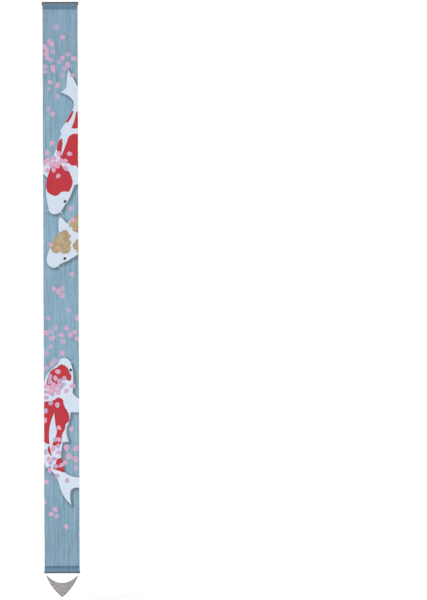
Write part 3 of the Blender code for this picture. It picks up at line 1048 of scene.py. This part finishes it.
def makeBanner(finishes):
    layers = drawPicture()
    flat, faces, middles, cutRows, columns = triangulatePicture(layers)
    layerOf = np.full(len(faces), "dyedGround", dtype=object)
    for paint, loop in layers:
        layerOf[insideLoop(middles, loop)] = paint
    shade = paintedShadow(flat)
    last = len(cutRows) - 2
    for k in range(last + 1):
        chosen = (middles[:, 1] > cutRows[k]) & (middles[:, 1] < cutRows[k + 1])
        ends = {0: "top", last: "low"}.get(k)
        name = {0: "banner_top", last: "banner_bottom"}.get(k, f"banner_span_{k:02d}")
        piece, length = buildSpan(name, flat, faces[chosen], layerOf[chosen], shade, finishes,
                                  ends, columns)
        if k == 0:
            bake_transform(piece)
            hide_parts("top_sleeve", sections[0])
        elif k == last:
            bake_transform(piece)
            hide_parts("bottom_sleeve")
        else:
            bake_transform(piece)
            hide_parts(sections[k])
        cloth["width"] * mm


def addPiece(name, mesh, sharpAngle):
    piece = bpy.data.objects.new(name, mesh)
    bpy.context.scene.collection.objects.link(piece)
    mesh.shade_smooth()
    mesh.set_sharp_from_angle(angle=math.radians(sharpAngle))
    return piece


def newPiece(name, bm, sharpAngle=40):
    mesh = bpy.data.meshes.new(name)
    bm.normal_update()
    bm.to_mesh(mesh)
    bm.free()
    return addPiece(name, mesh, sharpAngle)


def settle(piece, finish, body, node):
    piece.data.materials.append(finish)
    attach(piece, body)
    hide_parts(node)


def roundAngles(count):
    return [math.tau * n / count for n in range(count)]


def joinRings(bm, rings):
    for ring, after in zip(rings, rings[1:]):
        for n in range(len(ring)):
            beside = (n + 1) % len(ring)
            bm.faces.new((ring[n], ring[beside], after[beside], after[n]))


def addTube(bm, route, radii, sides=8):
    # a round tube along a route in mm, closed with domed ends
    route = [Vector(p) for p in route]
    side = None
    rings = []
    for k, (point, radius) in enumerate(zip(route, radii)):
        ahead = (route[min(k + 1, len(route) - 1)] - route[max(k - 1, 0)]).normalized()
        if side is None:
            side = ahead.orthogonal().normalized()
        side = (side - ahead * side.dot(ahead)).normalized()
        other = ahead.cross(side)
        rings.append([bm.verts.new((point + (side * math.cos(a) + other * math.sin(a)) * radius) * mm)
                      for a in roundAngles(sides)])
    joinRings(bm, rings)
    for ring, ahead in ((rings[0], route[0] - route[1]), (rings[-1], route[-1] - route[-2])):
        middle = sum((v.co for v in ring), Vector()) / sides
        tip = bm.verts.new(middle + ahead.normalized() * radii[0] * 0.6 * mm)
        for n in range(sides):
            pair = (ring[n], ring[(n + 1) % sides])
            bm.faces.new((*pair, tip) if ring is rings[-1] else (*reversed(pair), tip))


# the sewing thread of the two seams
stitch = {"length": 2.3, "gap": 0.55, "radius": 0.2, "fromSide": 1.2, "slant": 0.12, "steps": 8}


def makeSeam(name, pocket, facing, body, node, finish):
    bm = bmesh.new()
    seam = pocket["seam"]
    step = stitch["length"] + stitch["gap"]
    count = int(2 * (halfWidth - stitch["fromSide"]) / step)
    draw = random.Random(len(name) + int(seam))
    face = cloth["thickness"] + pocketLook["apart"]
    for k in range(count):
        left = (k - count / 2) * step + draw.uniform(-0.12, 0.12)
        length = stitch["length"] * draw.uniform(0.93, 1.04)
        lift = draw.uniform(0.85, 1.15)
        route, radii = [], []
        for n in range(stitch["steps"] + 1):
            t = n / stitch["steps"]
            across = left + length * t
            rise = stitch["radius"] * (1.15 * math.sin(math.pi * t) ** 0.6 * lift - 0.35)
            y = facing * (face + rise) + float(puckerOf(across, seam, pocket))
            z = seam + stitch["slant"] * (t - 0.5) * 2 + draw.uniform(-0.02, 0.02)
            route.append((across, y, z))
            radii.append(stitch["radius"] * (0.7 + 0.3 * math.sin(math.pi * t)))
        addTube(bm, route, radii)
    settle(newPiece(name, bm), finish, body, node)


# the two rods, turned dowels with eased ends
rodLook = {"segments": 64, "easing": 0.5, "flutter": 0.03, "stations": 26, "centre": 0.45}


def makeRod(name, node, finish):
    low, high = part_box(node)
    radius = (high.z - low.z) / 2 / mm
    middle = (high.z + low.z) / 2 / mm
    half = (high.x - low.x) / 2 / mm
    draw = random.Random(len(name))
    easing, count = rodLook["easing"], rodLook["stations"]
    end = [(-half, rodLook["centre"]), (-half, radius - easing)]
    end += [(-half + easing * (1 - math.cos(a)), radius - easing * (1 - math.sin(a)))
            for a in (0.45, 0.9, math.pi / 2)]
    stations = end + [(-half + 2 + (2 * half - 4) * k / count,
                       radius - rodLook["flutter"] * draw.uniform(0, 1)) for k in range(count + 1)]
    stations += [(-x, r) for x, r in reversed(end)]
    bm = bmesh.new()
    rings = [[bm.verts.new(Vector((x, r * math.cos(a), middle + r * math.sin(a))) * mm)
              for a in roundAngles(rodLook["segments"])] for x, r in stations]
    joinRings(bm, rings)
    bm.faces.new(rings[0])
    bm.faces.new(reversed(rings[-1]))
    bmesh.ops.recalc_face_normals(bm, faces=bm.faces)
    settle(newPiece(name, bm, 50), finish, node, node)


def objectPlace(tree):
    # the piece's own coordinates, in mm
    place = Wire(addNode(tree, "ShaderNodeTexCoord").outputs["Object"])
    scaled = addNode(tree, "ShaderNodeVectorMath", {0: place, "Scale": 1 / mm}, operation="SCALE")
    return Wire(scaled.outputs[0])


wood = {"dark": tint(46, 40, 37), "light": tint(82, 71, 62), "pore": tint(24, 20, 18),
        "end": tint(66, 56, 48)}


def makeWood():
    material, tree, skin = newMaterial("darkStainedWood", specular=0.4, coat=0.12, coatRoughness=0.35)
    place = objectPlace(tree)
    grain = ramp(noise(place, 0.035, 1.1, 4), 0.35, 0.7)
    pores = ramp(noise(place, 0.12, 4.2, 2, 5), 0.6, 0.7)
    rings = ramp(noise(place, 0.01, 1.9, 1, 9), 0.4, 0.6)
    colour = mixColour(pores, mixColour(grain, wood["dark"], wood["light"]), wood["pore"])
    sideways = split(Wire(addNode(tree, "ShaderNodeTexCoord").outputs["Normal"]))[0]
    colour = mixColour(ramp(abs(sideways), 0.7, 0.95), colour, mixColour(rings, wood["end"], wood["dark"]))
    dress(skin, colour, ramp(grain, 0, 1, 0.42, 0.6), pores * -0.8 + grain, 0.35, 0.08 * mm)
    return material


def makeThreadFinish(name, light, dark, ply):
    # two-ply thread: slanted plies, with the odd loose fibre
    material, tree, skin = newMaterial(name, specular=0.25, sheen=0.2, sheenRoughness=0.45)
    place = objectPlace(tree)
    across, _, down = split(place)
    lay = (across + down * 0.8) * (math.tau / ply)
    ridge = ramp((noise(place, 1.5, 1.5) * 1.5 + lay).maths("SINE"), -0.6, 0.8)
    fibre = ramp(noise(place, 7, 7, 3, 4), 0.3, 0.7)
    # painted light and shade: the plies' crests lighter, the grooves between them darker
    colour = mixColour(fibre * 0.35 + ridge * 0.65, dark, light)
    dress(skin, colour, ramp(fibre, 0, 1, 0.72, 0.9), fibre * 0.3 + ridge, 0.5, 0.05 * mm)
    return material


# the linen pendant: two thin layers with a thicker hem all round
pendant = {
    "cornerWidth": 2.0, "sag": 20.4, "bulge": 10.0,
    "thin": 0.3, "hem": 0.58, "hemWidth": 1.9, "hemStep": 0.6,
    "edgeRound": 0.3, "cell": 1.3, "gridInset": 0.45, "drape": 0.35, "sideSteps": 44, "topSteps": 56,
    "pitch": 0.95, "wander": 1.4,
    "light": tint(196, 189, 190), "dark": tint(130, 125, 126), "deep": tint(100, 96, 97),
    "hemDarkening": tint(206, 202, 201),
}


def pendantLoop():
    outer = (pendantHigh.x - pendantLow.x) / 2 / mm
    inner = outer - pendant["cornerWidth"]
    corner = pendantHigh.z / mm
    tip = pendantLow.z / mm
    normal = np.array([corner - tip, -outer])
    normal /= np.linalg.norm(normal)
    control = np.array([outer / 2, (corner + tip) / 2]) + normal * pendant["bulge"]
    t = (np.arange(pendant["sideSteps"]) / pendant["sideSteps"])[:, None]
    right = np.array([outer, corner]) * (1 - t) ** 2 + control * 2 * t * (1 - t) + np.array([0, tip]) * t**2
    left = np.vstack([[[0, tip]], right[:0:-1] * (-1, 1), [[-outer, corner]]])
    x = np.linspace(-inner, inner, pendant["topSteps"])
    top = np.column_stack([x, corner - pendant["sag"] * (1 - (x / inner) ** 2)])
    return np.vstack([right, left, top])


def makePendant(finish):
    loop = pendantLoop()
    low, high = loop.min(0), loop.max(0)
    grid = np.array([(x, z) for x in np.arange(low[0], high[0], pendant["cell"])
                     for z in np.arange(low[1], high[1], pendant["cell"])])
    grid = grid[insideLoop(grid, loop)]
    grid = grid[distanceTo(grid, loop) > pendant["gridInset"]]
    count = len(loop)
    flat, faces = cutToTriangles([*loop, *grid], [(k, (k + 1) % count) for k in range(count)])
    faces = faces[insideLoop(flat[faces].mean(axis=1), loop)]
    inset = distanceTo(flat, loop)
    hemmed = 1 - smoothStep(inset, pendant["hemWidth"] - pendant["hemStep"], pendant["hemWidth"])
    rise = pendant["thin"] + (pendant["hem"] - pendant["thin"]) * hemmed
    rise -= pendant["edgeRound"] * (1 - smoothStep(inset, 0.0, 0.35))
    share = flat[:, 0] / high[0]
    drape = pendant["drape"] * (np.cos(share * math.pi * 1.5) * smoothStep(inset, 0, 9) - 0.2)
    bm = bmesh.new()
    front, back = [[bm.verts.new(Vector((x, d + side * r, z)) * mm)
                    for (x, z), r, d in zip(flat, rise, drape)] for side in (-1, 1)]
    for face in faces:
        bm.faces.new([front[k] for k in face])
        bm.faces.new([back[k] for k in reversed(face)])
    for k in range(count):
        after = (k + 1) % count
        bm.faces.new((front[k], front[after], back[after], back[k]))
    bmesh.ops.recalc_face_normals(bm, faces=bm.faces)
    piece = newPiece("pendant_linen", bm, 70)
    hem = 1 - smoothStep(inset, pendant["hemWidth"] - 0.5, pendant["hemWidth"])
    mask = piece.data.attributes.new("hem", "FLOAT", "POINT")
    mask.data.foreach_set("value", np.concatenate([hem, hem]).astype(np.float32))
    settle(piece, finish, "pendant", "pendant")


def makeLinen(weave):
    # cut on the bias, so the threads run slantwise
    material, tree, skin = newMaterial("greyLinen", specular=0.2, sheen=0.15, sheenRoughness=0.5)
    across, _, down = split(objectPlace(tree))
    slanted = joined((across + down) * math.sqrt(0.5), (across - down) * math.sqrt(0.5))
    threads = useGroup(weave, Place=slanted, Pitch=pendant["pitch"], Wander=pendant["wander"])
    slub = ramp(noise(slanted, 0.9, 0.09, 2, 2), 0.4, 0.68)
    crossSlub = ramp(noise(slanted, 0.09, 0.9, 2, 8), 0.4, 0.68)
    mottle = ramp(noise(slanted, 0.3, 0.16, 2, 6), 0.38, 0.62)
    tone = (mottle * 0.5 + slub * 0.35).maths("ADD", crossSlub * 0.3, clamp=True)
    colour = mixColour(tone, pendant["light"], pendant["dark"])
    # painted shade between the threads
    colour = mixColour(threads["Gap"] * 0.6, colour, pendant["deep"])
    # the linen is darker within the hem's width
    colour = mixColour(readMask(tree, "hem"), colour, pendant["hemDarkening"], "MULTIPLY")
    dress(skin, colour, ramp(threads["Height"], 0.1, 0.9, 0.96, 0.8),
          (slub + crossSlub) * 0.3 + threads["Height"], 0.7, 0.3 * mm)
    return material


# the threads that the pendant hangs on: two plies and a wrapped knot near each end
tie = {
    "radius": 0.4, "above": 0.1, "below": 0.6, "sides": 7,
    "ply": 0.2, "plyWire": 0.21, "layEvery": 1.5, "plySteps": 40,
    "knots": ((0.6, 2.2), (-0.9, 2.6)), "knotRadius": 0.42, "knotWire": 0.24, "knotSteps": 14,
}


def makeTie(name, node, finish):
    low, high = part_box(node)
    side = 1 if low.x > 0 else -1
    near, far = sorted((abs(low.x), abs(high.x)))
    top = Vector((side * (far / mm - tie["radius"]), 0, high.z / mm + tie["above"]))
    bottom = Vector((side * (near / mm + tie["radius"]), 0, low.z / mm - tie["below"]))
    ahead = (bottom - top).normalized()
    length = (bottom - top).length
    out = Vector((0, 1, 0))
    other = ahead.cross(out)
    bm = bmesh.new()

    def addCoil(start, end, first, turns, radius, wire, steps):
        shares = [k / steps for k in range(steps + 1)]
        angles = [first + math.tau * turns * t for t in shares]
        route = [top + ahead * (start + (end - start) * t)
                 + (out * math.cos(a) + other * math.sin(a)) * radius for t, a in zip(shares, angles)]
        addTube(bm, route, [wire] * len(route), tie["sides"])

    for first in (0.0, math.pi):
        addCoil(0, length, first, length / tie["layEvery"], tie["ply"], tie["plyWire"], tie["plySteps"])
    for at, turns in tie["knots"]:
        middle = at if at > 0 else length + at
        reach = turns * tie["knotWire"] * 1.5 / 2
        addCoil(middle - reach, middle + reach, 0.0, turns, tie["knotRadius"], tie["knotWire"],
                int(turns * tie["knotSteps"]))
    settle(newPiece(name, bm, 60), finish, "pendant", node)


makeCamera(camera)
makeStudio(studio)
print("camera and studio ready")
finishes, weave = makeClothFinishes()
woodFinish = makeWood()
makeRod("top_rod_wood", "top_rod", woodFinish)
makeRod("bottom_rod_wood", "bottom_rod", woodFinish)
print("rods ready")
makeBanner(finishes)
seamFinish = makeThreadFinish("seamThread", tint(158, 184, 202), tint(98, 122, 142), 0.55)
for pocket, end in ((pockets["top"], "top"), (pockets["low"], "bottom")):
    for facing, side in ((-1, "front"), (1, "back")):
        makeSeam(f"{end}_{side}_stitches", pocket, facing, f"{end}_sleeve",
                 f"{end}_seam_{side}_thread", seamFinish)
print("seams ready")
tieFinish = makeThreadFinish("tieThread", tint(176, 174, 172), tint(128, 124, 122), 0.7)
makeTie("left_tie", "left_tie_thread", tieFinish)
makeTie("right_tie", "right_tie_thread", tieFinish)
makePendant(makeLinen(weave))
print("pendant ready")
